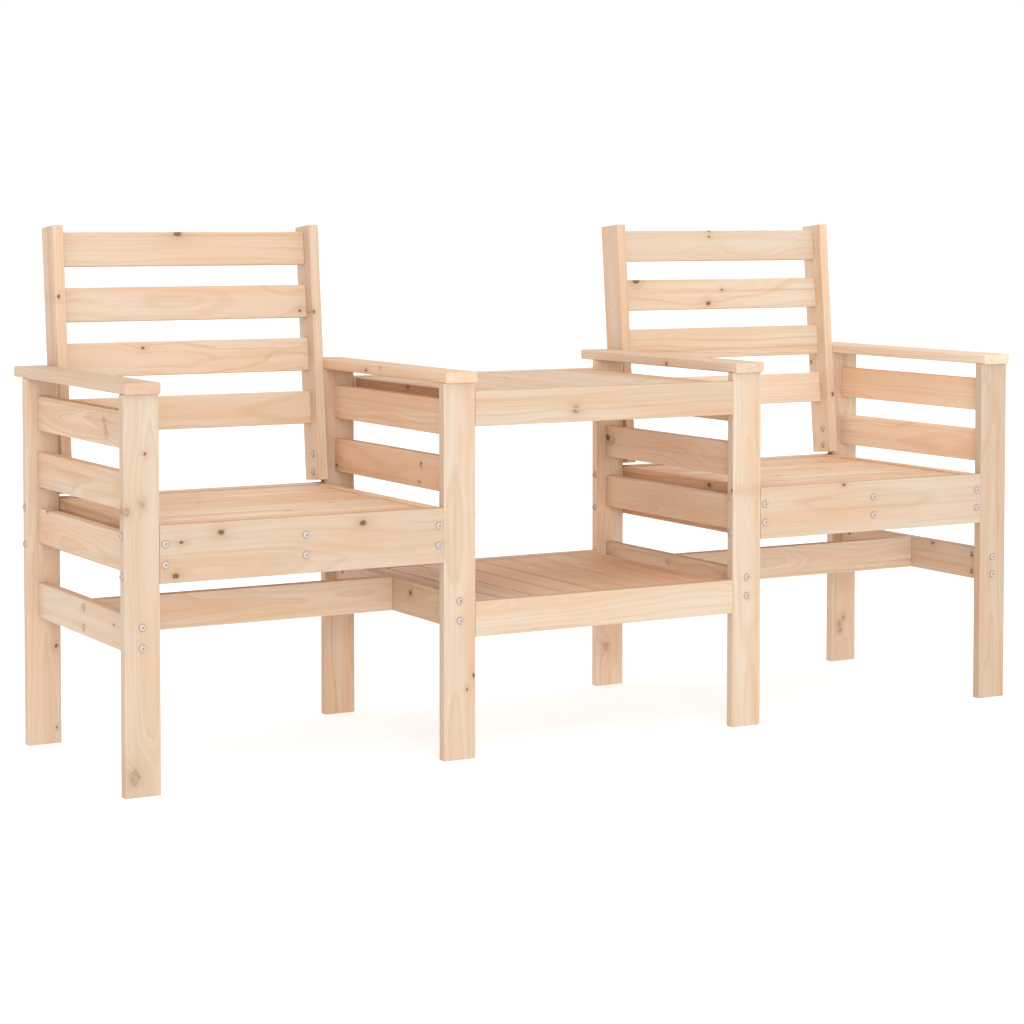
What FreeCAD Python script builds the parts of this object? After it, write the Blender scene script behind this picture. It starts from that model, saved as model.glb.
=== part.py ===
import FreeCAD, Part
import math
import os

# Companion seat bench: two armchairs joined by a small table with a shelf, all in planed pine.
# Millimetres. The front faces -Y and Z is up. Left and right are as seen from the front, and X runs
# from left to right. The origin is on the floor, in the middle of the bench's length and depth.

# Timber
stock_thickness = 18.0
leg_width = 58.0
slat_width = 58.0
seat_rail_height = 90.0
bearer_height = 48.0
ledger_height = 32.0
arris = 1.5
armrest_rounding = 3.0

# Spaces between the side panels, and the depth over the legs
seat_clear_width = 489.0
table_clear_width = 506.0
frame_depth = 469.0

# Heights
seat_height = 414.0
armrest_above_seat = 219.0
lower_rail_below_seat = 141.0
table_below_armrest = 32.0
shelf_height = 257.0
slat_recess = 3.0

# Armrests and side slats
armrest_front_overhang = 8.0
armrest_back_overhang = 41.0
gap_under_armrest = 29.0
side_slat_gap = 36.0
side_slat_count = 3
least_gap_above_lower_rail = 12.0

# Leaning backs
back_lean = 5.2
post_depth = 58.0
post_length = 450.0
post_set_forward = 35.0
post_seat_clearance = 2.0
back_slat_count = 4
top_slat_drop = 10.0
post_foot_below_slats = 100.0
back_slat_setback = 24.0

# Slatted surfaces
seat_slat_least_gap = 3.0
table_slat_least_gap = 4.0
seat_slat_end_gap = 2.0

# Connector bolts with barrel nuts
bolt_across = 6.0
bolt_head_across = 12.5
bolt_crown_across = 8.0
bolt_head_height = 3.0
bolt_pitch = 32.0
seat_rail_bolt_pitch = 62.0
post_bolts_above_seat = 35.0
nut_across = 10.0
nut_recess = 2.0
nut_inset = 30.0

# Bolts, nuts and their holes are many-sided
shank_sides = 6
head_sides = 8

# Sizes that follow from those above
leg_height = seat_height + armrest_above_seat - stock_thickness
lower_rail_height = seat_height - lower_rail_below_seat
table_height = seat_height + armrest_above_seat - table_below_armrest
inner_depth = frame_depth - 2 * stock_thickness
back_leg_front = frame_depth - stock_thickness
side_slat_inset = (leg_width - stock_thickness) / 2
nut_length = stock_thickness - 2 * nut_recess
lean = math.radians(back_lean)
post_foot_front = frame_depth - post_set_forward
post_foot_height = seat_height + post_seat_clearance + post_depth * math.sin(lean)
post_top_back = post_foot_front + post_length * math.sin(lean) + post_depth * math.cos(lean)

# Left faces of the four side panels, and the side on which each has its sitter: +1 for +X, -1 for -X
panels = ["left_outer", "left_inner", "right_inner", "right_outer"]
seat_pitch = leg_width + seat_clear_width
table_pitch = leg_width + table_clear_width
panel_left = [0.0, seat_pitch, seat_pitch + table_pitch, 2 * seat_pitch + table_pitch]
sitter_side = [1, -1, 1, -1]
bench_length = panel_left[-1] + leg_width
rearmost = max(post_top_back, frame_depth + armrest_back_overhang)
origin = FreeCAD.Vector(bench_length / 2, (rearmost - armrest_front_overhang) / 2, 0)

# Solids and holes by the name of the piece
pieces = {}
holes = {}
bolts = []
nuts = []


def board(corner, size):
    """A planed board from its lowest corner, with the arrises along its grain eased."""
    box = Part.makeBox(*size, FreeCAD.Vector(*corner))
    return box.makeChamfer(arris, grain_edges(box, size))


def grain_edges(box, size):
    return [edge for edge in box.Edges if abs(edge.Length - max(size)) < 0.001]


def prism(start, along, length, facing, across, sides, end_across=None):
    """A many-sided bar with a flat towards facing, tapering to end_across."""
    sideways = along.cross(facing)
    rings = []
    for place, width in ((0, across), (length, end_across or across)):
        radius = width / 2 / math.cos(math.pi / sides)
        turns = [(step + 0.5) * 2 * math.pi / sides for step in range(sides)]
        middle = start + along * place
        corners = [middle + facing * (radius * math.cos(turn)) + sideways * (radius * math.sin(turn))
                   for turn in turns]
        rings.append(Part.makePolygon(corners + corners[:1]))
    return Part.makeLoft(rings, True, True)


def bolt_joint(first, second, head_seat, along, nut_mouth, grip):
    """Bolts the board first, which is grip thick, to the end or edge of the board second.

    The head bears on first at head_seat and the shank runs along. It ends in a barrel nut across
    second, whose hole opens towards nut_mouth. The thread in the nut is left out.
    """
    seat = FreeCAD.Vector(*head_seat)
    along = FreeCAD.Vector(*along)
    mouth = FreeCAD.Vector(*nut_mouth)
    shank = prism(seat, along, grip + nut_inset - nut_across / 2, mouth, bolt_across, shank_sides)
    head = prism(seat, along * -1, bolt_head_height, mouth, bolt_head_across, head_sides, bolt_crown_across)
    nut_start = seat + along * (grip + nut_inset) - mouth * (nut_length / 2)
    nut_hole_depth = nut_length + nut_recess
    bolts.append(head.fuse(shank).removeSplitter())
    nuts.append(prism(nut_start, mouth, nut_length, along, nut_across, shank_sides))
    holes[first].append(shank)
    holes[second].append(shank)
    holes[second].append(prism(nut_start, mouth, nut_hole_depth, along, nut_across, shank_sides))


def pair(middle, pitch):
    return (middle - pitch / 2, middle + pitch / 2)


def slat_starts(start, clear, least_gap):
    """Where the slats begin that fill a clear space, with equal gaps between and beside them."""
    count = math.floor((clear - least_gap) / (slat_width + least_gap))
    gap = (clear - count * slat_width) / (count + 1)
    return [start + gap + index * (slat_width + gap) for index in range(count)]


def add(name, *solids):
    pieces[name] = list(solids)
    holes[name] = []


def side_panel(name, left, sitter):
    """Two legs with slats and a lower rail between them, under an armrest."""
    leg_size = (leg_width, stock_thickness, leg_height)
    add(name + "_front_leg", board((left, 0, 0), leg_size))
    add(name + "_back_leg", board((left, back_leg_front, 0), leg_size))
    armrest_size = (leg_width, armrest_front_overhang + frame_depth + armrest_back_overhang, stock_thickness)
    armrest = Part.makeBox(*armrest_size, FreeCAD.Vector(left, -armrest_front_overhang, leg_height))
    add(name + "_armrest", armrest.makeFillet(armrest_rounding, grain_edges(armrest, armrest_size)))

    slat_size = (stock_thickness, inner_depth, slat_width)
    slat_left = left + side_slat_inset
    slat_foot = leg_height - gap_under_armrest - slat_width
    for number in range(1, side_slat_count + 1):
        if slat_foot > lower_rail_height + least_gap_above_lower_rail:
            add(name + "_side_slat_" + str(number), board((slat_left, stock_thickness, slat_foot), slat_size))
        slat_foot = slat_foot - side_slat_gap - slat_width
    rail_foot = lower_rail_height - slat_width
    add(name + "_lower_rail", board((slat_left, stock_thickness, rail_foot), slat_size))

    for height in pair(lower_rail_height - slat_width / 2, bolt_pitch):
        middle = left + leg_width / 2
        rail = name + "_lower_rail"
        bolt_joint(name + "_front_leg", rail, (middle, 0, height), (0, 1, 0), (sitter, 0, 0), stock_thickness)
        bolt_joint(name + "_back_leg", rail, (middle, frame_depth, height), (0, -1, 0), (sitter, 0, 0),
                   stock_thickness)


def seat(side, near, far, left, table_side):
    """A box of rails and side boards between the legs, and slats that lie in it from side to side."""
    right = left + seat_clear_width
    box_foot = seat_height - seat_rail_height
    rail_size = (seat_clear_width, stock_thickness, seat_rail_height)
    add(side + "_seat_front_rail", board((left, 0, box_foot), rail_size))
    add(side + "_seat_back_rail", board((left, back_leg_front, box_foot), rail_size))

    # From front to back: the side boards, which are as high as the rails, a ledger on each of them, and
    # a bearer under the middle of the slats
    slat_foot = seat_height - slat_recess - stock_thickness
    side_lefts = [left, right - stock_thickness]
    ledger_lefts = [left + stock_thickness, right - 2 * stock_thickness]
    bearer_left = (left + right - stock_thickness) / 2
    side_boards = [board((x, stock_thickness, box_foot),
                         (stock_thickness, inner_depth, seat_rail_height)) for x in side_lefts]
    ledgers = [board((x, stock_thickness, slat_foot - ledger_height),
                     (stock_thickness, inner_depth, ledger_height)) for x in ledger_lefts]
    bearer = board((bearer_left, stock_thickness, slat_foot - bearer_height),
                   (stock_thickness, inner_depth, bearer_height))
    add(side + "_seat_bearers", *side_boards, *ledgers, bearer)

    slat_inset = stock_thickness + seat_slat_end_gap
    slat_size = (seat_clear_width - 2 * slat_inset, slat_width, stock_thickness)
    slats = [board((left + slat_inset, y, slat_foot), slat_size)
             for y in slat_starts(stock_thickness, inner_depth, seat_slat_least_gap)]
    add(side + "_seat_slats", *slats)

    for end, face, inward in (("front", 0, 1), ("back", frame_depth, -1)):
        rail = side + "_seat_" + end + "_rail"
        middle = face + inward * stock_thickness / 2
        for height in pair(box_foot + seat_rail_height / 2, seat_rail_bolt_pitch):
            bolt_joint(near + "_" + end + "_leg", rail, (left - leg_width, middle, height), (1, 0, 0),
                       (0, inward, 0), leg_width)
            bolt_joint(far + "_" + end + "_leg", rail, (right + leg_width, middle, height), (-1, 0, 0),
                       (0, inward, 0), leg_width)

        # The nuts of the side boards open outwards, clear of the ledgers
        side_board_middle = box_foot + seat_rail_height / 2
        bearer_middle = slat_foot - bearer_height / 2
        for x, joint_middle, nut_side in ((side_lefts[0], side_board_middle, -1),
                                          (bearer_left, bearer_middle, table_side),
                                          (side_lefts[1], side_board_middle, 1)):
            for height in pair(joint_middle, bolt_pitch):
                bolt_joint(rail, side + "_seat_bearers", (x + stock_thickness / 2, face, height),
                           (0, inward, 0), (nut_side, 0, 0), stock_thickness)


def stretcher(side, near, far, left):
    """A board at mid depth that joins the lower rails of a chair's two panels."""
    start = left - side_slat_inset
    length = seat_clear_width + 2 * side_slat_inset
    corner = (start, (frame_depth - stock_thickness) / 2, lower_rail_height - slat_width)
    add(side + "_stretcher", board(corner, (length, stock_thickness, slat_width)))
    for height in pair(lower_rail_height - slat_width / 2, bolt_pitch):
        bolt_joint(near + "_lower_rail", side + "_stretcher",
                   (start - stock_thickness, frame_depth / 2, height), (1, 0, 0), (0, 1, 0), stock_thickness)
        bolt_joint(far + "_lower_rail", side + "_stretcher",
                   (start + length + stock_thickness, frame_depth / 2, height), (-1, 0, 0), (0, 1, 0),
                   stock_thickness)


def leaning_back(side, near, far, left):
    """Two posts bolted inside the back legs, with slats let in between them, all on one lean."""
    foot = FreeCAD.Vector(left, post_foot_front, post_foot_height)
    upright = FreeCAD.Placement(foot, FreeCAD.Rotation(FreeCAD.Vector(1, 0, 0), -back_lean))
    post_size = (stock_thickness, post_depth, post_length)
    for name, x in (("near", 0), ("far", seat_clear_width - stock_thickness)):
        post = board((x, 0, 0), post_size)
        post.Placement = upright
        add(side + "_" + name + "_post", post)

    slat_size = (seat_clear_width - 2 * stock_thickness, stock_thickness, slat_width)
    lowest = post_foot_below_slats
    highest = post_length - top_slat_drop - slat_width
    for index in range(back_slat_count):
        slat = board((stock_thickness, back_slat_setback,
                      highest - index * (highest - lowest) / (back_slat_count - 1)), slat_size)
        slat.Placement = upright
        add(side + "_back_slat_" + str(index + 1), slat)

    leg_middle = frame_depth - stock_thickness / 2
    right = left + seat_clear_width
    for height in pair(seat_height + post_bolts_above_seat, bolt_pitch):
        bolt_joint(side + "_near_post", near + "_back_leg", (left + stock_thickness, leg_middle, height),
                   (-1, 0, 0), (0, 1, 0), stock_thickness)
        bolt_joint(side + "_far_post", far + "_back_leg", (right - stock_thickness, leg_middle, height),
                   (1, 0, 0), (0, 1, 0), stock_thickness)


def slatted_board(name, height, rail_name, left):
    """Slats from front to back between two rails, which lie on ledgers behind the rails."""
    rail_size = (table_clear_width, stock_thickness, slat_width)
    add(name + "_front_" + rail_name, board((left, 0, height - slat_width), rail_size))
    add(name + "_back_" + rail_name, board((left, back_leg_front, height - slat_width), rail_size))

    underside = height - slat_recess - stock_thickness
    slat_size = (slat_width, inner_depth, stock_thickness)
    add(name + "_slats", *[board((x, stock_thickness, underside), slat_size)
                           for x in slat_starts(left, table_clear_width, table_slat_least_gap)])
    ledger_size = (table_clear_width, stock_thickness, ledger_height)
    add(name + "_ledgers", *[board((left, y, underside - ledger_height), ledger_size)
                             for y in (stock_thickness, back_leg_front - stock_thickness)])


# The two armchairs
for name, left, sitter in zip(panels, panel_left, sitter_side):
    side_panel(name, left, sitter)
for side, near, far, left, table_side in (("left", panels[0], panels[1], panel_left[0] + leg_width, 1),
                                          ("right", panels[2], panels[3], panel_left[2] + leg_width, -1)):
    seat(side, near, far, left, table_side)
    stretcher(side, near, far, left)
    leaning_back(side, near, far, left)

# The table and its shelf between the inner panels
slatted_board("table", table_height, "apron", panel_left[1] + leg_width)
slatted_board("shelf", shelf_height, "rail", panel_left[1] + leg_width)

add("connector_bolts", *bolts)
add("barrel_nuts", *nuts)

# Each piece with its holes, moved to the origin
os.makedirs("parts", exist_ok=True)
for name, solids in pieces.items():
    drilled = []
    for solid in solids:
        cutters = [hole for hole in holes[name] if hole.BoundBox.intersect(solid.BoundBox)]
        drilled.extend(solid.cut(cutters).Solids if cutters else [solid])
    shape = Part.makeCompound(drilled) if len(drilled) > 1 else drilled[0]
    shape.translate(origin * -1)
    shape.exportStep("parts/" + name + ".step")
print(len(pieces), "named pieces,", len(bolts), "bolts")
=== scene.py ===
import math
import random

import bmesh
import bpy
from mathutils import Matrix, Vector


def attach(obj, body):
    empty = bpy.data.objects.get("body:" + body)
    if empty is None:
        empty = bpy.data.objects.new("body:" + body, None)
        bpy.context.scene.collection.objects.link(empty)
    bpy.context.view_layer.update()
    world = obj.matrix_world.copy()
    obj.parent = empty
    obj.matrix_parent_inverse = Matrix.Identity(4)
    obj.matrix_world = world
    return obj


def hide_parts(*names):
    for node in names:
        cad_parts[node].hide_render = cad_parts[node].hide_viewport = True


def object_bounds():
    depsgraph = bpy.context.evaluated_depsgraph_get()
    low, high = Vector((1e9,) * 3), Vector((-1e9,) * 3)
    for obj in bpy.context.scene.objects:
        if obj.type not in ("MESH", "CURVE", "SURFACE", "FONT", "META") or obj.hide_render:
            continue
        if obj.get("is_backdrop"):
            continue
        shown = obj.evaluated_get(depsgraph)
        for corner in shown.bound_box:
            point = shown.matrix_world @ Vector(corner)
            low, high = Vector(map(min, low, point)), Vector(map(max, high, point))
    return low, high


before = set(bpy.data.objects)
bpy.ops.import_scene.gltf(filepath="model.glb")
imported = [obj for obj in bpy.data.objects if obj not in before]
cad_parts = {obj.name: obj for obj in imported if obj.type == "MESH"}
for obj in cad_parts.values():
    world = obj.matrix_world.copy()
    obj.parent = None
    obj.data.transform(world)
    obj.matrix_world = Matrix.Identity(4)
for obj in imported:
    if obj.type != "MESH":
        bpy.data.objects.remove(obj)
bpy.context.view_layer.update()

# Side panels
# Four panels carry the bench. Each is two flat legs, three slats and a lower rail let in between them, and
# an armrest lying on the legs, all 18 mm pine planed on four sides, with the arrises just eased.
board_arris = 0.0018
board_arris_steps = 3
cut_end_arris = 0.0006
armrest_arris = 0.003
nut_hole_across = 0.0102
nut_hole_depth = 0.0022
nut_hole_sides = 20
nut_patch_half = 0.7 * nut_hole_across
to_left, to_right = Vector((-1, 0, 0)), Vector((1, 0, 0))
to_front, to_back = Vector((0, -1, 0)), Vector((0, 1, 0))
upward = Vector((0, 0, 1))
upright = Matrix()

# A length under a hair counts as nothing
hair = 1e-6

# Colours of the wood: early and late in the year, towards the heart of the tree, and in a knot
pine_pale = (0.665, 0.530, 0.405, 1.0)
pine_late = (0.52, 0.30, 0.16, 1.0)
pine_heart = (0.665, 0.420, 0.265, 1.0)
knot_heart = (0.24, 0.11, 0.05, 1.0)
knot_rim = (0.10, 0.05, 0.025, 1.0)
knot_halo = (0.42, 0.24, 0.13, 1.0)

# The tone of a board is its lightness, its warmth and the strength of its rings. The lightness is the
# wood's own, and on boards that lie in shade it is also set lighter, a painted fill light. Boards of one
# node differ in lightness by their spread, in warmth by warmth_spread times that, and in their rings by a
# share
plain_board = (0.95, 0.15, 0.8)
dull_board = (0.78, 0.30, 0.8)
amber_board = (1.12, 0.45, 0.9)
board_spread = 0.03
warmth_spread = 6
ring_strength_spread = (0.8, 1.2)


class Finish:
    """A material that is put together step by step, each step one shader node.

    A step takes plain values and the results of other steps alike.
    """

    def __init__(self, name):
        self.material = bpy.data.materials.new(name)
        self.material.use_nodes = True
        self.shader = self.material.node_tree.nodes["Principled BSDF"]

    def feed(self, socket, value):
        if isinstance(value, bpy.types.NodeSocket):
            self.material.node_tree.links.new(value, socket)
        elif value is not None:
            socket.default_value = value

    def add(self, kind, *inputs, **settings):
        """A node of a kind, with its inputs in the order of its sockets."""
        made = self.material.node_tree.nodes.new(kind)
        for key, value in settings.items():
            setattr(made, key, value)
        for socket, value in zip(made.inputs, inputs):
            self.feed(socket, value)
        return made

    def maths(self, operation, *values):
        return self.add("ShaderNodeMath", *values, operation=operation).outputs[0]

    def plus(self, first, second):
        return self.maths("ADD", first, second)

    def minus(self, first, second):
        return self.maths("SUBTRACT", first, second)

    def times(self, first, second):
        return self.maths("MULTIPLY", first, second)

    def swung(self, noise, reach):
        """Turns a noise, which lies between nought and one, into a swing about nought."""
        return self.times(self.minus(noise, 0.5), reach)

    def fading(self, distance, rate):
        return self.maths("EXPONENT", self.times(distance, rate))

    def attribute(self, of):
        return self.add("ShaderNodeAttribute", attribute_name=of).outputs["Vector"]

    def parts(self, vector):
        return tuple(self.add("ShaderNodeSeparateXYZ", vector).outputs)

    def stretched(self, vector, stretch):
        return self.add("ShaderNodeVectorMath", vector, stretch, operation="MULTIPLY").outputs[0]

    def length(self, vector):
        return self.add("ShaderNodeVectorMath", vector, operation="LENGTH").outputs["Value"]

    def noise(self, place, waves, detail=2.0):
        """Noise with so many waves in a metre each way."""
        stretched = self.stretched(place, waves)
        return self.add("ShaderNodeTexNoise", stretched, None, 1.0, detail, 0.5).outputs[0]

    def noise_along(self, distance, waves):
        """Noise with so many waves in a metre of one distance."""
        return self.add("ShaderNodeTexNoise", None, distance, waves, 1.0, noise_dimensions="1D").outputs[0]

    def chance_of(self, number):
        """A random share for each whole number."""
        return self.add("ShaderNodeTexWhiteNoise", None, number, noise_dimensions="1D").outputs[0]

    def mixed(self, factor, first, second, blend="MIX"):
        """A blend of two colours, which are sockets 6 and 7 of the node."""
        made = self.add("ShaderNodeMix", factor, data_type="RGBA", blend_type=blend)
        self.feed(made.inputs[6], first)
        self.feed(made.inputs[7], second)
        return made.outputs[2]

    def ramp(self, factor, *stops):
        """A level that eases from stop to stop, each of them a place and its level."""
        made = self.add("ShaderNodeValToRGB", factor)
        made.color_ramp.interpolation = "EASE"
        elements = made.color_ramp.elements
        while len(elements) < len(stops):
            elements.new(0.5)
        for element, (place, level) in zip(elements, stops):
            element.position = place
            element.color = (level, level, level, 1.0)
        return made.outputs[0]

    def bumped(self, height, strength, depth):
        bump = self.add("ShaderNodeBump")
        bump.inputs["Strength"].default_value = strength
        bump.inputs["Distance"].default_value = depth
        self.feed(bump.inputs["Height"], height)
        self.feed(self.shader.inputs["Normal"], bump.outputs[0])


# Knots are drawn out along the grain, and the rings bulge round them. Distances from a knot count in its
# radii, and a faint one gets no darker than it is faint_from radii out. A board with fewer knots is filled
# up with no_knot, which lies far off it
knots_a_board = 4
no_knot = (9.0, 0.0, 0.0)
least_knot_radius = 0.0001
knot_squash = (0.72, 1.0, 0.0)
faint_from = 1.08
bulge_falloff = -0.11
halo_falloff = -0.50
fray = 1.1
fray_waves = (240, 240, 240)
heart_squeeze = 0.7


def knots_of(pine, log):
    """A board's knots: how much heart, rim and halo show, and how far the rings bulge round them."""
    nearest, bulge = None, None
    for number in range(knots_a_board):
        way = pine.attribute("knot_" + str(number))
        signed_radius = pine.parts(way)[2]
        radius = pine.maths("ABSOLUTE", signed_radius)
        away = pine.length(pine.stretched(way, knot_squash))
        reach = pine.maths("DIVIDE", away, pine.maths("MAXIMUM", radius, least_knot_radius))
        swell = pine.times(radius, pine.fading(pine.times(reach, reach), bulge_falloff))
        faint = pine.maths("LESS_THAN", signed_radius, 0.0)
        reach = pine.maths("MAXIMUM", reach, pine.times(faint, faint_from))
        nearest = reach if nearest is None else pine.maths("MINIMUM", nearest, reach)
        bulge = swell if bulge is None else pine.maths("MAXIMUM", bulge, swell)
    frayed = pine.plus(nearest, pine.swung(pine.noise(log, fray_waves), fray))
    heart = pine.ramp(pine.times(frayed, heart_squeeze), (0.0, 1.0), (0.30, 1.0), (1.0, 0.0))
    rim = pine.ramp(frayed, (0.25, 0.1), (0.62, 0.7), (0.95, 0.0))
    halo = pine.fading(nearest, halo_falloff)
    return heart, rim, halo, bulge


# Growth rings, in metres from the pith. They wander slowly along the stem and flutter finely. Waves are for
# a metre, along the grain first and then across it
ring_width = 0.0058
ring_wander = 0.046
wander_waves = (2.2, 9, 9)
ring_flutter = 0.0030
flutter_waves = (12, 55, 55)
across_grain = (0.0, 1.0, 1.0)
bulge_of_rings = 1.6
wet_year_swing = 2.2
wet_year_waves = 160.0
least_latewood = 0.15


def latewood_of(pine, log, bulge):
    """How much latewood shows: it ends each year's ring, and some years have more of it."""
    radius = pine.length(pine.stretched(log, across_grain))
    wander = pine.swung(pine.noise(log, wander_waves), ring_wander)
    flutter = pine.swung(pine.noise(log, flutter_waves), ring_flutter)
    radius = pine.plus(pine.plus(radius, wander), pine.plus(flutter, pine.times(bulge, bulge_of_rings)))
    wet_years = pine.times(pine.noise_along(radius, wet_year_waves), wet_year_swing)
    count = pine.plus(pine.maths("DIVIDE", radius, ring_width), wet_years)
    late = pine.ramp(pine.maths("FRACT", count), (0.0, 0.0), (0.40, 0.16), (0.84, 1.0), (1.0, 0.0))
    year = pine.chance_of(pine.maths("FLOOR", count))
    return pine.times(late, pine.plus(least_latewood, pine.times(year, 1 - least_latewood)))


# Wear, with a painted highlight along it, keeps to a few millimetres from the arrises
wear_and_highlight_falloff = -500.0
wear_and_highlight_waves = (18, 70, 70)


def wear_of(pine, log):
    """How far a place is rubbed, and lightened by a painted highlight: most on the arrises, here more and
    there less.
    """
    across, through = pine.parts(pine.attribute("place"))[1:]
    half_width, half_thickness = pine.parts(pine.attribute("half"))[1:]
    from_edge = pine.minus(half_width, pine.maths("ABSOLUTE", across))
    from_face = pine.minus(half_thickness, pine.maths("ABSOLUTE", through))
    rubbed_and_lit = pine.ramp(pine.noise(log, wear_and_highlight_waves), (0.30, 0.2), (0.70, 1.0))
    return pine.times(rubbed_and_lit, pine.fading(pine.plus(from_edge, from_face), wear_and_highlight_falloff))


# How far the figure shows: patches of heartwood, dark streaks, fine fibres, wear with a painted highlight
# and what rings a knot
patch_waves = (2.4, 26, 26)
patch_middle = 0.40
patch_warmth = 2.4
streak_waves = (1.5, 110, 110)
streak_strength = 0.50
fibre_waves = (9, 620, 620)
fibre_shading = 0.10
wear_and_highlight_lightening = 0.07
halo_strength = 0.75
rim_strength = 0.8

# Planed finish: how rough it is, what makes it smoother or rougher, and how far latewood and knots stand up
planed_roughness = 0.66
latewood_gloss = 0.14
worn_gloss = 0.12
fibre_roughness = 0.16
latewood_rise = 0.5
knot_rise = 0.6


def planed_pine(name, ring_contrast, shade):
    """Solid pine: growth rings round the middle of the tree, as each board's faces cut them.

    The log attribute is the place in the tree in metres, along its grain first. Each board carries a
    tone, whose lightness on boards in shade is also a painted fill light, the place on the board with its
    half sizes, and for each of its knots the way from there, along the grain and across it, and its radius,
    which is negative where the knot is faint.
    """
    pine = Finish(name)
    log = pine.attribute("log")
    lightness_and_painted_light, warmth, ring_strength = pine.parts(pine.attribute("tone_and_painted_light"))
    heart, rim, halo, bulge = knots_of(pine, log)
    late = latewood_of(pine, log, bulge)
    wear_and_highlight = wear_of(pine, log)
    patch = pine.noise(log, patch_waves, detail=3.0)
    streak = pine.ramp(pine.noise(log, streak_waves), (0.54, 0.0), (0.76, 1.0))
    fibre = pine.noise(log, fibre_waves)

    # Colour: pale earlywood, amber latewood, warmer here and there, and darker streaks
    warmth = pine.plus(warmth, pine.times(pine.minus(patch, patch_middle), patch_warmth))
    colour = pine.mixed(pine.add("ShaderNodeClamp", warmth).outputs[0], pine_pale, pine_heart)
    colour = pine.mixed(pine.times(streak, pine.times(ring_strength, streak_strength)), colour, pine_late)
    colour = pine.mixed(pine.times(late, pine.times(ring_strength, ring_contrast)), colour, pine_late)
    colour = pine.mixed(pine.times(halo, halo_strength), colour, knot_halo)
    colour = pine.mixed(heart, colour, knot_heart)
    colour = pine.mixed(pine.times(rim, rim_strength), colour, knot_rim)
    # Lightness: each board's own, with a painted fill light on boards that lie in shade
    light = pine.plus(lightness_and_painted_light, pine.swung(fibre, fibre_shading))
    # The arrises are lightened by wear and by a painted highlight
    light = pine.times(light, pine.plus(1.0, pine.times(wear_and_highlight, wear_and_highlight_lightening)))
    light = pine.times(light, shade)
    grey = pine.add("ShaderNodeCombineColor", light, light, light).outputs[0]
    pine.feed(pine.shader.inputs["Base Color"], pine.mixed(1.0, colour, grey, "MULTIPLY"))
    pine.shader.inputs["Specular IOR Level"].default_value = 0.32

    # Planed finish: latewood stands a little prouder and shinier than earlywood, and wear is smooth
    gloss = pine.plus(pine.times(late, latewood_gloss), pine.times(wear_and_highlight, worn_gloss))
    roughness = pine.plus(pine.minus(planed_roughness, gloss), pine.swung(fibre, fibre_roughness))
    pine.feed(pine.shader.inputs["Roughness"], roughness)
    relief = pine.plus(pine.times(late, latewood_rise), pine.plus(fibre, pine.times(heart, knot_rise)))
    pine.bumped(relief, strength=0.4, depth=0.0004)
    return pine.material


long_grain = planed_pine("pine_long_grain", ring_contrast=0.52, shade=1.0)
cut_end = planed_pine("pine_cut_end", ring_contrast=0.50, shade=0.93)


def corners_in(node, turn=upright):
    """The corners of each separate solid in a CAD node, after a turn."""
    shape = bmesh.new()
    shape.from_mesh(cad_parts[node].data)
    bmesh.ops.transform(shape, matrix=turn, verts=shape.verts)
    bmesh.ops.remove_doubles(shape, verts=shape.verts, dist=hair)
    unvisited = set(shape.verts)
    solids = []
    while unvisited:
        corners, waiting = [], [unvisited.pop()]
        while waiting:
            vertex = waiting.pop()
            corners.append(vertex.co.copy())
            for neighbour in (link.other_vert(vertex) for link in vertex.link_edges):
                if neighbour in unvisited:
                    unvisited.remove(neighbour)
                    waiting.append(neighbour)
        solids.append(corners)
    shape.free()
    return solids


def box_round(places):
    """The lowest and the highest corner of the box round some places."""
    return Vector(map(min, zip(*places))), Vector(map(max, zip(*places)))


def solids_in(node, turn=upright):
    """The boxes round those solids, from left to right, front to back and upwards."""
    boxes = [box_round(corners) for corners in corners_in(node, turn)]
    return sorted(boxes, key=lambda box: tuple(round(value, 4) for value in box[0]))


def axes_by_length(size):
    """The axes of a box, the one along its longest side first."""
    return sorted(range(3), key=lambda axis: -size[axis])


def pointing(axis, sense=1.0):
    """The direction of an axis, or against it."""
    return Vector([sense if other == axis else 0.0 for other in range(3)])


def directions(size):
    """The directions of a board's grain, width and thickness."""
    return [pointing(axis) for axis in axes_by_length(size)]


def along_grain(edge, grain):
    return abs((edge.verts[0].co - edge.verts[1].co).dot(grain))


def eased(shape, edges, arris, steps):
    """Rounds edges, or cuts them to one flat where there is one step."""
    bmesh.ops.bevel(shape, geom=edges, offset=arris, segments=steps, profile=0.5, affect="EDGES",
                    material=-1)


def planed_board(low, high, arris, holes):
    """A board that fills a box, with eased arrises, cut ends and the holes of its barrel nuts."""
    grain = directions(high - low)[0]
    shape = bmesh.new()
    verts = bmesh.ops.create_cube(shape, size=1.0)["verts"]
    bmesh.ops.scale(shape, vec=high - low, verts=verts)
    bmesh.ops.translate(shape, vec=(low + high) / 2, verts=verts)
    long_edges = [edge for edge in shape.edges if along_grain(edge, grain) > hair]
    eased(shape, long_edges, arris, board_arris_steps)
    end_edges = [edge for edge in shape.edges if along_grain(edge, grain) < hair]
    eased(shape, end_edges, cut_end_arris, 1)
    for mouth, outward in holes:
        bored(shape, mouth, outward)

    # Faces that look along the grain are the cut ends, which are a board's second material
    for face in shape.faces:
        face.smooth = True
        face.material_index = 1 if abs(face.normal.dot(grain)) > 0.7 else 0
    return shape


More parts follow.
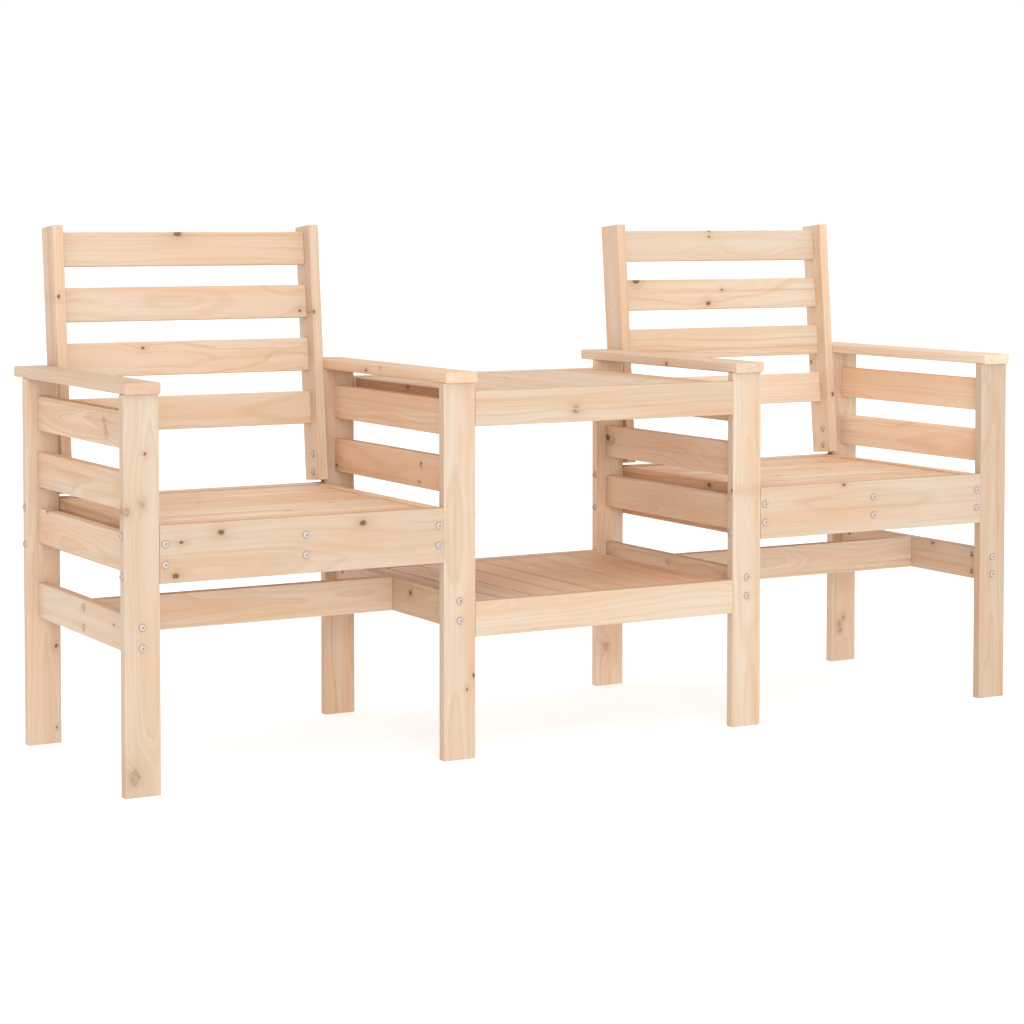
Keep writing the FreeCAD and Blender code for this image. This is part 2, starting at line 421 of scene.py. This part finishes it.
def bored(shape, mouth, outward):
    """A round blind hole for a barrel nut, with its centre at mouth on a flat face.

    Four cuts part a square patch from the face, and its rim is drawn in to a circle and down.
    """
    for axis in (to_right, to_back, upward):
        if abs(axis.dot(outward)) < 0.5:
            parted(shape, mouth - axis * nut_patch_half, axis)
            parted(shape, mouth + axis * nut_patch_half, axis)
    patch = min((face for face in shape.faces if face.normal.dot(outward) > 0.9),
                key=lambda face: (face.calc_center_median() - mouth).length)
    bmesh.ops.subdivide_edges(shape, edges=patch.edges, cuts=nut_hole_sides // 4 - 1)
    rim = list(patch.edges)
    bmesh.ops.delete(shape, geom=[patch], context="FACES_ONLY")
    for depth in (0.0, nut_hole_depth):
        ring, rim = drawn_on(shape, rim)[:2]
        for vertex in ring:
            spoke = vertex.co - mouth
            spoke -= outward * spoke.dot(outward)
            vertex.co = mouth + spoke.normalized() * (nut_hole_across / 2) - outward * depth
    bmesh.ops.edgeloop_fill(shape, edges=rim)


def parted(shape, place, direction):
    """Cuts a shape's faces in two where a plane crosses them."""
    everything = shape.verts[:] + shape.edges[:] + shape.faces[:]
    bmesh.ops.bisect_plane(shape, geom=everything, plane_co=place, plane_no=direction, dist=1e-7)


def drawn_on(shape, rim):
    """Extrudes a rim of edges and gives the new vertices, the new rim and the walls between."""
    made = bmesh.ops.extrude_edge_only(shape, edges=rim)["geom"]
    ring = [part for part in made if isinstance(part, bmesh.types.BMVert)]
    edges = [part for part in made if isinstance(part, bmesh.types.BMEdge)]
    walls = [part for part in made if isinstance(part, bmesh.types.BMFace)]
    return ring, [edge for edge in edges if all(end in ring for end in edge.verts)], walls


# How a board was sawn: how far its tree was turned, in radians and mostly for a flat-sawn face, and how far
# off the pith lay. Each board comes from its own place within tree_reach, so that no two are alike
sawn_turns = (0.6, 1.5, 1.6, 1.6)
sawn_turn_spread = 0.3
pith_off = (0.02, 0.075)
pith_aside = 0.02
tree_reach = 40


def figured(shape, low, high, seed, tone_and_painted_light, knots):
    """Gives a board its own place in its own tree, with its tone, which on boards in shade holds a painted
    fill light, and its knots.

    A knot is (along, sideways, radius) from the board's middle, with "faint" after it if it hardly shows.
    It goes through the board's thickness, or with a negative radius through its width, and then sideways
    is measured through the thickness.
    """
    size, middle = high - low, (low + high) / 2
    grain, width, thickness = directions(size)
    chance = random.Random(seed)
    turn_in_tree = chance.choice(sawn_turns) + chance.uniform(-sawn_turn_spread, sawn_turn_spread)
    spin = Matrix.Rotation(turn_in_tree, 3, "X")
    pith = Vector((chance.uniform(-tree_reach, tree_reach), chance.uniform(*pith_off),
                   chance.uniform(-pith_aside, pith_aside)))
    knots = (list(knots) + [no_knot] * knots_a_board)[:knots_a_board]
    names = ["log", "tone_and_painted_light", "place", "half"] + ["knot_" + str(number) for number in range(knots_a_board)]
    layers = {name: shape.verts.layers.float_vector.new(name) for name in names}
    for vertex in shape.verts:
        offset = vertex.co - middle
        place = Vector((offset.dot(grain), offset.dot(width), offset.dot(thickness)))
        vertex[layers["log"]] = spin @ place + pith
        vertex[layers["tone_and_painted_light"]] = tone_and_painted_light
        vertex[layers["place"]] = place
        vertex[layers["half"]] = Vector(sorted(size, reverse=True)) / 2
        for number, (along, sideways, radius, *faint) in enumerate(knots):
            side = place.y if radius >= 0 else place.z
            shown = -abs(radius) if faint else abs(radius)
            vertex[layers["knot_" + str(number)]] = (place.x - along, side - sideways, shown)


def gathered(target, shape):
    """Moves a shape into target, with its faces outward."""
    bmesh.ops.recalc_face_normals(shape, faces=shape.faces)
    mesh = bpy.data.meshes.new("gathered")
    shape.to_mesh(mesh)
    shape.free()
    target.from_mesh(mesh)
    bpy.data.meshes.remove(mesh)


def finished(name, shape, slot, *materials):
    """A piece from its mesh, which rides on the bench."""
    mesh = bpy.data.meshes.new(name)
    shape.to_mesh(mesh)
    shape.free()
    for material in materials:
        mesh.materials.append(material)
    piece = bpy.data.objects.new(name, mesh)
    bpy.context.scene.collection.objects.link(piece)
    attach(piece, "root")
    return piece


def boards(node, tone_and_painted_light=plain_board, knots=None, arris=board_arris, nut_sides=None, turn=upright,
           spread=board_spread):
    """All the boards of one CAD node as one piece, with the holes of its barrel nuts.

    Knots go by the board's number in the node, and nut_sides says where each board's holes open.
    """
    shape = bmesh.new()
    chance = random.Random(node)
    for index, (low, high) in enumerate(solids_in(node, turn.inverted())):
        own_tone_and_painted_light = (tone_and_painted_light[0] + chance.uniform(-spread, spread),
                    tone_and_painted_light[1] + chance.uniform(-warmth_spread, warmth_spread) * spread,
                    tone_and_painted_light[2] * chance.uniform(*ring_strength_spread))
        own_knots = stray_knots(chance, high - low) if knots is None else knots.get(index, ())
        holes = nut_mouths(low, high, nut_sides[index % len(nut_sides)]) if nut_sides else ()
        one_board = planed_board(low, high, arris, holes)
        figured(one_board, low, high, node + str(index), own_tone_and_painted_light, own_knots)
        bmesh.ops.transform(one_board, matrix=turn, verts=one_board.verts)
        gathered(shape, one_board)
    piece = finished("pine_" + node, shape, "pine", long_grain, cut_end)
    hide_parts(node)
    weighted = piece.modifiers.new("flat faces", "WEIGHTED_NORMAL")
    weighted.keep_sharp = True


# Stray knots: how many a board has at the most, the chance of each for a metre of its length, the chance
# that it goes through the width, how far from the middle it lies as a share of the length, and the radii.
# One through the width keeps clear of the board's faces
strays_a_board = 2
strays_a_metre = 0.55
strays_through_width = 0.25
stray_length_share = 0.47
stray_radii = (0.0014, 0.0042)
stray_clearance = 0.009


def stray_knots(chance, size):
    """Up to two knots at random places on a board, the likelier the longer it is."""
    length, width, thickness = sorted(size, reverse=True)
    found = []
    for number in range(strays_a_board):
        if chance.random() < length * strays_a_metre:
            through_width = chance.random() < strays_through_width
            room = thickness - stray_clearance if through_width else width
            found.append((chance.uniform(-stray_length_share, stray_length_share) * length,
                          chance.uniform(-0.5, 0.5) * room,
                          chance.uniform(*stray_radii) * (-1 if through_width else 1)))
    return found


def nut_mouths(low, high, outward):
    """Where barrel nuts open at a board's face that looks outward."""
    across = [axis for axis in range(3) if abs(outward[axis]) > 0.5][0]
    found = []
    for nut_low, nut_high in barrel_nuts:
        mouth = (nut_low + nut_high) / 2
        if all(low[axis] < mouth[axis] < high[axis] for axis in range(3)):
            mouth[across] = high[across] if outward[across] > 0 else low[across]
            found.append((mouth, outward))
    return found


barrel_nuts = solids_in("barrel_nuts")
panel_pieces = ("front_leg", "back_leg", "side_slat_1", "side_slat_2", "side_slat_3", "lower_rail",
                "armrest")
panel_knots = {
    "left_outer_front_leg": ((0.217, 0.0055, 0.0020), (0.130, -0.0248, 0.0042, "faint"),
                             (0.140, 0.0005, 0.0034, "faint"), (-0.276, -0.0140, 0.0075, "faint")),
    "left_outer_back_leg": ((-0.281, 0.0204, 0.0016), (-0.143, 0.0206, 0.0025)),
    "left_outer_side_slat_1": ((-0.099, 0.0100, 0.0034, "faint"), (-0.104, 0.0000, 0.0034, "faint"),
                               (-0.109, -0.0100, 0.0036, "faint"), (-0.106, -0.0040, 0.0012)),
    "left_outer_side_slat_3": ((0.169, 0.0279, 0.0024),),
    "left_outer_lower_rail": ((-0.137, 0.0074, 0.0020),),
    "left_outer_armrest": ((-0.243, -0.0158, 0.0020),),
    "left_inner_front_leg": ((-0.171, 0.0250, 0.0024), (-0.193, 0.0134, 0.0018)),
    "left_inner_side_slat_2": ((-0.116, 0.0120, 0.0024), (-0.115, 0.0080, 0.0020),
                               (-0.109, -0.0199, 0.0018), (0.209, -0.0186, 0.0028)),
    "left_inner_lower_rail": ((-0.076, 0.0100, 0.0042),),
    "left_inner_armrest": ((0.033, -0.0026, -0.0028), (-0.022, 0.0050, -0.0014)),
    "right_inner_front_leg": ((0.104, -0.0045, -0.0022),),
    "right_inner_back_leg": ((-0.234, -0.0081, 0.0055, "faint"),),
    "right_inner_armrest": ((-0.038, -0.0038, -0.0030),),
    "right_inner_side_slat_2": ((0.210, 0.0066, 0.0058), (0.198, 0.0020, 0.0080, "faint")),
    "right_outer_back_leg": ((-0.234, -0.0102, 0.0040, "faint"), (-0.222, -0.0010, 0.0030, "faint"),
                             (-0.246, -0.0090, 0.0036, "faint")),
    "right_outer_lower_rail": ((-0.073, 0.0234, 0.0026),),
}
# Besides each board's own tone, the lightness holds painted light: the side slats and armrest of the right
# outer panel, whose inner faces lie in shade, are set lighter, a painted fill light
panel_tones_and_painted_light = {
    "left_outer_front_leg": (0.845, 0.0, 0.7),
    "left_outer_back_leg": (0.92, 0.25, 0.9),
    "left_outer_side_slat_1": (1.01, 0.45, 1.3),
    "left_outer_side_slat_2": (0.955, 0.45, 1.4),
    "left_outer_side_slat_3": (1.025, 0.5, 1.1),
    "left_outer_armrest": (0.93, 0.6, 0.9),
    "left_inner_front_leg": (0.875, 0.1, 0.7),
    "left_inner_back_leg": (0.88, 0.5, 0.9),
    "left_inner_side_slat_1": (1.05, 0.6, 1.1),
    "left_inner_side_slat_2": (1.08, 0.5, 1.1),
    "left_inner_side_slat_3": amber_board,
    "left_inner_lower_rail": (0.94, 0.3, 0.9),
    "left_inner_armrest": (1.08, 0.55, 0.9),
    "right_inner_front_leg": (0.88, 0.25, 0.7),
    "right_inner_back_leg": (1.08, 0.15, 0.9),
    "right_inner_side_slat_1": amber_board,
    "right_inner_side_slat_2": amber_board,
    "right_inner_side_slat_3": amber_board,
    "right_inner_lower_rail": (0.98, 0.6, 1.1),
    "right_inner_armrest": (0.99, 0.2, 0.8),
    "right_outer_front_leg": dull_board,
    "right_outer_back_leg": (0.90, 0.15, 0.8),
    "right_outer_side_slat_1": (1.20, 0.3, 1.0),
    "right_outer_side_slat_2": (1.20, 0.4, 1.0),
    "right_outer_lower_rail": (0.94, 0.3, 0.9),
    "right_outer_armrest": (1.16, -0.2, 0.8),
}
for panel, seat_side in (("left_outer", to_right), ("left_inner", to_left),
                         ("right_inner", to_right), ("right_outer", to_left)):
    for piece in panel_pieces:
        name = panel + "_" + piece
        boards(name, tone_and_painted_light=panel_tones_and_painted_light.get(name, plain_board), knots={0: panel_knots.get(name, ())},
               arris=armrest_arris if piece == "armrest" else board_arris,
               nut_sides={"back_leg": [to_back], "lower_rail": [seat_side]}.get(piece))

# Seats
# Each seat is a box of two pine rails and two side boards between the legs. Seven slats lie in it with
# narrow gaps, on ledgers and a middle bearer. A stretcher joins the lower rails of its two panels.
seat_slat_spread = 0.06
seat_knots = {
    "left_seat_front_rail": {0: ((-0.144, 0.0283, 0.0040), (0.099, 0.0290, 0.0042),
                                 (-0.209, 0.0168, 0.0024), (-0.219, -0.0343, 0.0040))},
    "right_seat_front_rail": {0: ((-0.066, 0.0410, 0.0026),)},
    "right_seat_bearers": {0: ((-0.075, 0.0350, 0.0040),)},
    "left_seat_slats": {1: ((0.020, 0.0, 0.0030),), 2: ((0.130, 0.0100, 0.0026),),
                        4: ((-0.060, -0.0050, 0.0022),)},
    "right_seat_slats": {2: ((-0.080, 0.0100, 0.0026),), 5: ((0.150, 0.0, 0.0030),)},
}
# The bearers and the seat slats are set lighter than their wood, a painted fill light where they lie in
# shade between the panels
seat_tones_and_painted_light = {
    "left_seat_front_rail": dull_board,
    "right_seat_front_rail": (0.845, 0.15, 0.7),
    "bearers": (1.22, 0.6, 1.5),
    "slats": (1.16, 0.25, 2.4),
    "stretcher": (0.98, 0.12, 0.9),
}

# The bearers are a side board, a ledger, the middle bearer, a ledger and a side board, from left to right
for side, to_table in (("left", to_right), ("right", to_left)):
    for piece, nut_sides in (("front_rail", [to_back]), ("back_rail", [to_front]), ("slats", None),
                             ("bearers", [to_left, to_left, to_table, to_right, to_right])):
        name = side + "_seat_" + piece
        boards(name, tone_and_painted_light=seat_tones_and_painted_light.get(piece, seat_tones_and_painted_light.get(name, plain_board)),
               knots=seat_knots.get(name, {}), nut_sides=nut_sides,
               spread=seat_slat_spread if piece == "slats" else board_spread)
    boards(side + "_stretcher", tone_and_painted_light=seat_tones_and_painted_light["stretcher"], knots={}, nut_sides=[to_back])

# Backs
# Two pine posts stand inside the back legs, bolted through their feet, and lean back with four slats let
# in between them. The slats are screwed through the posts.
back_lean = Matrix.Rotation(math.radians(-5.2), 4, "X")
back_knots = {
    "left_near_post": ((0.105, -0.0039, -0.0024),),
    "left_far_post": ((0.071, -0.0061, -0.0024),),
    "left_back_slat_1": ((-0.012, 0.0270, 0.0058),),
    "left_back_slat_2": ((0.213, -0.0172, 0.0022),),
    "left_back_slat_3": ((-0.084, 0.0180, 0.0022),),
    "right_far_post": ((-0.112, 0.0030, -0.0030), (-0.046, 0.0206, 0.0026), (0.018, 0.0081, 0.0018)),
    "right_back_slat_1": ((-0.021, 0.0290, 0.0024), (-0.021, 0.0172, 0.0018)),
    "right_back_slat_2": ((-0.193, 0.0275, 0.0058), (-0.030, -0.0181, 0.0038), (0.003, 0.0075, 0.0020)),
}
back_tones = {
    "left_back_slat_1": (0.92, 0.2, 0.7),
    "left_back_slat_3": (1.01, 0.4, 1.1),
    "left_back_slat_4": (0.98, 0.35, 1.1),
    "right_far_post": (1.06, 0.1, 0.8),
    "right_back_slat_1": (0.92, 0.2, 0.7),
    "right_back_slat_2": (1.03, -0.05, 0.8),
    "right_back_slat_3": (1.04, 0.2, 1.1),
    "right_back_slat_4": (1.16, -0.05, 0.9),
}
for side in ("left", "right"):
    for piece in ("near_post", "far_post", "back_slat_1", "back_slat_2", "back_slat_3", "back_slat_4"):
        name = side + "_" + piece
        boards(name, tone_and_painted_light=back_tones.get(name, plain_board), knots={0: back_knots.get(name, ())},
               turn=back_lean)

# Table and shelf
# Two slatted boards of the same planed pine between the inner panels. The slats run from front to back
# and lie on ledgers behind the apron and the shelf rail.
table_slat_spread = 0.07
table_knots = {
    "table_front_apron": {0: ((-0.0635, -0.0105, 0.0034, "faint"), (-0.063, -0.0050, 0.0030, "faint"),
                              (-0.064, -0.0100, 0.0014))},
    "table_slats": {0: ((0.015, 0.0040, -0.0030), (-0.145, 0.0020, -0.0028)), 3: ((0.080, 0.0120, 0.0030),),
                    6: ((-0.110, -0.0160, 0.0026),)},
}
table_tones = {
    "table_front_apron": (0.86, 0.4, 0.9),
    "table_slats": (0.96, 0.5, 1.2),
    "shelf_slats": (1.14, 0.6, 1.5),
    "shelf_front_rail": (0.935, 0.3, 0.7),
}
for piece in ("table_front_apron", "table_back_apron", "table_slats", "table_ledgers",
              "shelf_front_rail", "shelf_back_rail", "shelf_slats", "shelf_ledgers"):
    slatted = "slats" in piece
    boards(piece, tone_and_painted_light=table_tones.get(piece, plain_board),
           knots=table_knots.get(piece, None if slatted else {}),
           spread=table_slat_spread if slatted else board_spread)

# Connector bolts
# Steel bolts with low domed heads and hex sockets, 12.5 mm across and pale from their zinc plating, which
# is tinted warm as a painted reflection of the wood. The rings are (radius, height) in mm, from the rim
# over the dome and down into the socket.
bolt_head_rings = ((6.1, 0.0), (6.25, 0.25), (6.2, 0.8), (5.7, 1.6), (4.8, 2.35), (3.8, 2.8), (2.9, 2.95))
socket_rings = ((2.10, 2.85), (1.95, 2.60), (1.95, 1.70))
shaded_flank_rings = 5
shank_radius = 0.003
shank_sides = 12
head_sides = 24
plating_waves = (420, 420, 420)
cloud_edges = (0.25, 0.75)
cloud_shades = (0.80, 1.0)
cloud_roughness = 0.18


def zinc_plate(name, pale, roughness, metallic):
    """Zinc plating: cloudy in its colour and in its gloss."""
    plate = Finish(name)
    cloud = plate.noise(plate.add("ShaderNodeTexCoord").outputs["Object"], plating_waves, detail=3.0)
    clouded = plate.add("ShaderNodeValToRGB", cloud)
    for element, place, shade in zip(clouded.color_ramp.elements, cloud_edges, cloud_shades):
        element.position = place
        element.color = tuple(value * shade for value in pale) + (1.0,)
    plate.feed(plate.shader.inputs["Base Color"], clouded.outputs[0])
    plate.feed(plate.shader.inputs["Roughness"], plate.plus(plate.times(cloud, cloud_roughness), roughness))
    plate.shader.inputs["Metallic"].default_value = metallic
    plate.bumped(cloud, strength=0.2, depth=0.0001)
    return plate.material


# The plating's warm tint is a painted reflection of the wood round it
plated_steel_and_reflection = zinc_plate("plated_steel_and_reflection", (0.62, 0.50, 0.43), roughness=0.44, metallic=0.40)
# A darker copy of the plating for recesses and the outer flank of the domes: a painted shade
painted_shade_steel = zinc_plate("painted_shade_steel", (0.47, 0.37, 0.31), roughness=0.54, metallic=0.30)


def turned(rings, recess, outline, shaded_flank=0):
    """A head turned from rings of (radius, height) in mm, and cut in from its top ring to a recess.

    The recess has the outline's shape and is painted darker below its brim, and the flank is painted darker
    up to the ring of that number, both a painted shade.
    """
    shape = bmesh.new()
    made = bmesh.ops.create_circle(shape, segments=head_sides, radius=rings[0][0] / 1000)
    rim = list({edge for vertex in made["verts"] for edge in vertex.link_edges})
    for index, (radius, height) in enumerate((rings + recess)[1:], start=1):
        ring, rim, walls = drawn_on(shape, rim)
        for vertex in ring:
            turn = math.atan2(vertex.co.y, vertex.co.x)
            reach = radius / 1000 * (outline(turn) if index >= len(rings) else 1.0)
            vertex.co = Vector((math.cos(turn) * reach, math.sin(turn) * reach, height / 1000))
        for wall in walls:
            wall.material_index = 1 if index > len(rings) or index < shaded_flank else 0
    for bottom in bmesh.ops.edgeloop_fill(shape, edges=rim)["faces"]:
        bottom.material_index = 1
    return shape


def hexagon(turn):
    """How far a hexagon reaches at a turn, against the middle of its flat."""
    return 1 / math.cos((turn % (math.pi / 3)) - math.pi / 6)


def rod(radius, length, sides):
    """A round rod with flat ends."""
    shape = bmesh.new()
    bmesh.ops.create_cone(shape, cap_ends=True, segments=sides, radius1=radius, radius2=radius,
                          depth=length)
    return shape


def placed(target, shape, seat, outward):
    """Adds a turned piece to target with its axis along outward."""
    for face in shape.faces:
        face.smooth = True
    turn = outward.to_track_quat("Z", "X").to_matrix().to_4x4()
    bmesh.ops.transform(shape, matrix=turn, verts=shape.verts)
    bmesh.ops.translate(shape, vec=seat, verts=shape.verts)
    gathered(target, shape)


def off_axis(offset, along):
    """How far an offset reaches sideways from an axis."""
    return math.hypot(*(offset[axis] for axis in range(3) if axis != along))


bolt_shapes = bmesh.new()
for corners in corners_in("connector_bolts"):
    low, high = box_round(corners)
    middle = (low + high) / 2
    along = axes_by_length(high - low)[0]
    rim_places = [corner[along] for corner in corners
                  if off_axis(corner - middle, along) > 1.5 * shank_radius]
    head_side = 1.0 if sum(place - middle[along] for place in rim_places) > 0 else -1.0
    outward = pointing(along, head_side)
    seat = middle.copy()
    seat[along] = min(rim_places, key=lambda place: place * head_side)
    head = turned(bolt_head_rings, socket_rings, hexagon, shaded_flank_rings)
    placed(bolt_shapes, head, seat, outward)
    length = abs(seat[along] - (low[along] if head_side > 0 else high[along]))
    shank = rod(shank_radius, length, shank_sides)
    placed(bolt_shapes, shank, seat - outward * length / 2, outward)
bolts = finished("domed_bolts", bolt_shapes, "zinc", plated_steel_and_reflection, painted_shade_steel)
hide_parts("connector_bolts")
bolts.data.set_sharp_from_angle(angle=math.radians(50))

# Slat screws
# Small countersunk steel screws with cross recesses, two through each post into each end of each slat. Only
# their heads show, level with the wood.
screw_head_rings = ((3.45, -0.25), (3.5, 0.10), (3.3, 0.22), (1.75, 0.24))
cross_rings = ((1.7, -0.10), (1.5, -0.90))
cross_arm_half_turn = 0.3
cross_waist = 0.4
screw_pitch = 0.032
slats_a_back = 4


def cross(turn):
    """How far a cross recess reaches at a turn, against the tips of its arms."""
    from_arm = abs((turn + math.pi / 4) % (math.pi / 2) - math.pi / 4)
    return 1.0 if from_arm < cross_arm_half_turn else cross_waist


screw_shapes = bmesh.new()
for side in ("left", "right"):
    for post, outward in (("near", to_left), ("far", to_right)):
        post_low, post_high = solids_in(side + "_" + post + "_post", back_lean.inverted())[0]
        for number in range(1, slats_a_back + 1):
            slat_low, slat_high = solids_in(side + "_back_slat_" + str(number), back_lean.inverted())[0]
            for offset in (-screw_pitch / 2, screw_pitch / 2):
                seat = (slat_low + slat_high) / 2 + upward * offset
                seat.x = post_low.x if outward.x < 0 else post_high.x
                head = turned(screw_head_rings, cross_rings, cross)
                placed(screw_shapes, head, back_lean @ seat, outward)
screws = finished("slat_screws", screw_shapes, "zinc", plated_steel_and_reflection, painted_shade_steel)
screws.data.set_sharp_from_angle(angle=math.radians(40))

# Barrel nuts
# Slotted steel dowels, 10 mm across, one for each bolt, which screws into it. They lie just under the
# surface in round holes across the boards.
nut_radius = 0.005
nut_arris = 0.0004
nut_arris_steps = 2
slot_width = 0.0016
slot_depth = 0.0012
dull_steel = zinc_plate("dull_steel", (0.40, 0.32, 0.27), roughness=0.52, metallic=0.40)
nut_shapes = bmesh.new()
for low, high in barrel_nuts:
    along = axes_by_length(high - low)[0]
    nut = rod(nut_radius, high[along] - low[along], head_sides)
    rims = [edge for edge in nut.edges if abs(edge.verts[0].co.z - edge.verts[1].co.z) < hair]
    eased(nut, rims, nut_arris, nut_arris_steps)
    for side in (-slot_width / 2, slot_width / 2):
        parted(nut, to_right * side, to_right)
    ends = [face for face in nut.faces if abs(face.normal.z) > 0.99]
    for strip in [face for face in ends if abs(face.calc_center_median().x) < slot_width / 2]:
        into = upward * -strip.normal.z * slot_depth
        slot_floor = bmesh.ops.extrude_discrete_faces(nut, faces=[strip])["faces"][0]
        bmesh.ops.translate(nut, vec=into, verts=slot_floor.verts)
        # The slot floor takes the darker steel, a painted shade in the slot
        slot_floor.material_index = 1
    placed(nut_shapes, nut, (low + high) / 2, pointing(along))
nuts = finished("slotted_barrel_nuts", nut_shapes, "zinc", dull_steel, painted_shade_steel)
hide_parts("barrel_nuts")
nuts.data.set_sharp_from_angle(angle=math.radians(40))

# Floor, light and camera
# A plain pale floor in a white studio, lit softly from the front and above. The camera stands at the
# photograph's viewing angle, level with the tops of the backs.
floor_radius = 60.0
floor_colour = (0.60, 0.60, 0.60, 1.0)
floor_glow = (0.98, 0.99, 1.0, 1.0)
studio_white = (1.0, 0.995, 0.985, 1.0)
lamp_white = (0.785, 0.91, 1.0)
lamp_aim = Vector((0.0, 0.0, 0.4))
camera_place = (-2.2249, -3.8767, 0.8790)
camera_below_level = 2.662
camera_azimuth = -29.4406

floor_shape = bmesh.new()
bmesh.ops.create_circle(floor_shape, cap_ends=True, segments=96, radius=floor_radius)
floor_mesh = bpy.data.meshes.new("floor")
floor_shape.to_mesh(floor_mesh)
floor_shape.free()
floor = bpy.data.objects.new("floor", floor_mesh)
bpy.context.scene.collection.objects.link(floor)
floor_paint = Finish("pale_floor")
floor_paint.shader.inputs["Base Color"].default_value = floor_colour
floor_paint.shader.inputs["Roughness"].default_value = 0.9
floor_paint.shader.inputs["Emission Color"].default_value = floor_glow
floor_paint.shader.inputs["Emission Strength"].default_value = 0.55
floor_mesh.materials.append(floor_paint.material)
floor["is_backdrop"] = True

world = bpy.data.worlds.new("studio")
world.use_nodes = True
world.node_tree.nodes["Background"].inputs["Color"].default_value = studio_white
world.node_tree.nodes["Background"].inputs["Strength"].default_value = 1.04
bpy.context.scene.world = world
bpy.context.scene.view_settings.view_transform = "Standard"

# Each softbox has its place, its width and its power in watts
softboxes = {"key": ((-2.6, -7.6, 1.9), 3.4, 280.0), "sky": ((-1.0, -3.2, 6.4), 4.0, 90.0)}
for name, (place, width, power) in softboxes.items():
    lamp = bpy.data.lights.new(name, "AREA")
    lamp.size = width
    lamp.energy = power
    lamp.color = lamp_white
    softbox = bpy.data.objects.new(name, lamp)
    softbox.location = place
    softbox.rotation_euler = (lamp_aim - Vector(place)).to_track_quat("-Z", "Y").to_euler()
    bpy.context.scene.collection.objects.link(softbox)

camera_data = bpy.data.cameras.new("camera")
camera_data.lens = 89.376
camera_data.sensor_width = 36.0
camera_data.shift_y = -0.1703
camera = bpy.data.objects.new("camera", camera_data)
camera.location = camera_place
camera.rotation_euler = (math.radians(90 - camera_below_level), 0.0, math.radians(camera_azimuth))
bpy.context.scene.collection.objects.link(camera)
bpy.context.scene.camera = camera

low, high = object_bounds()
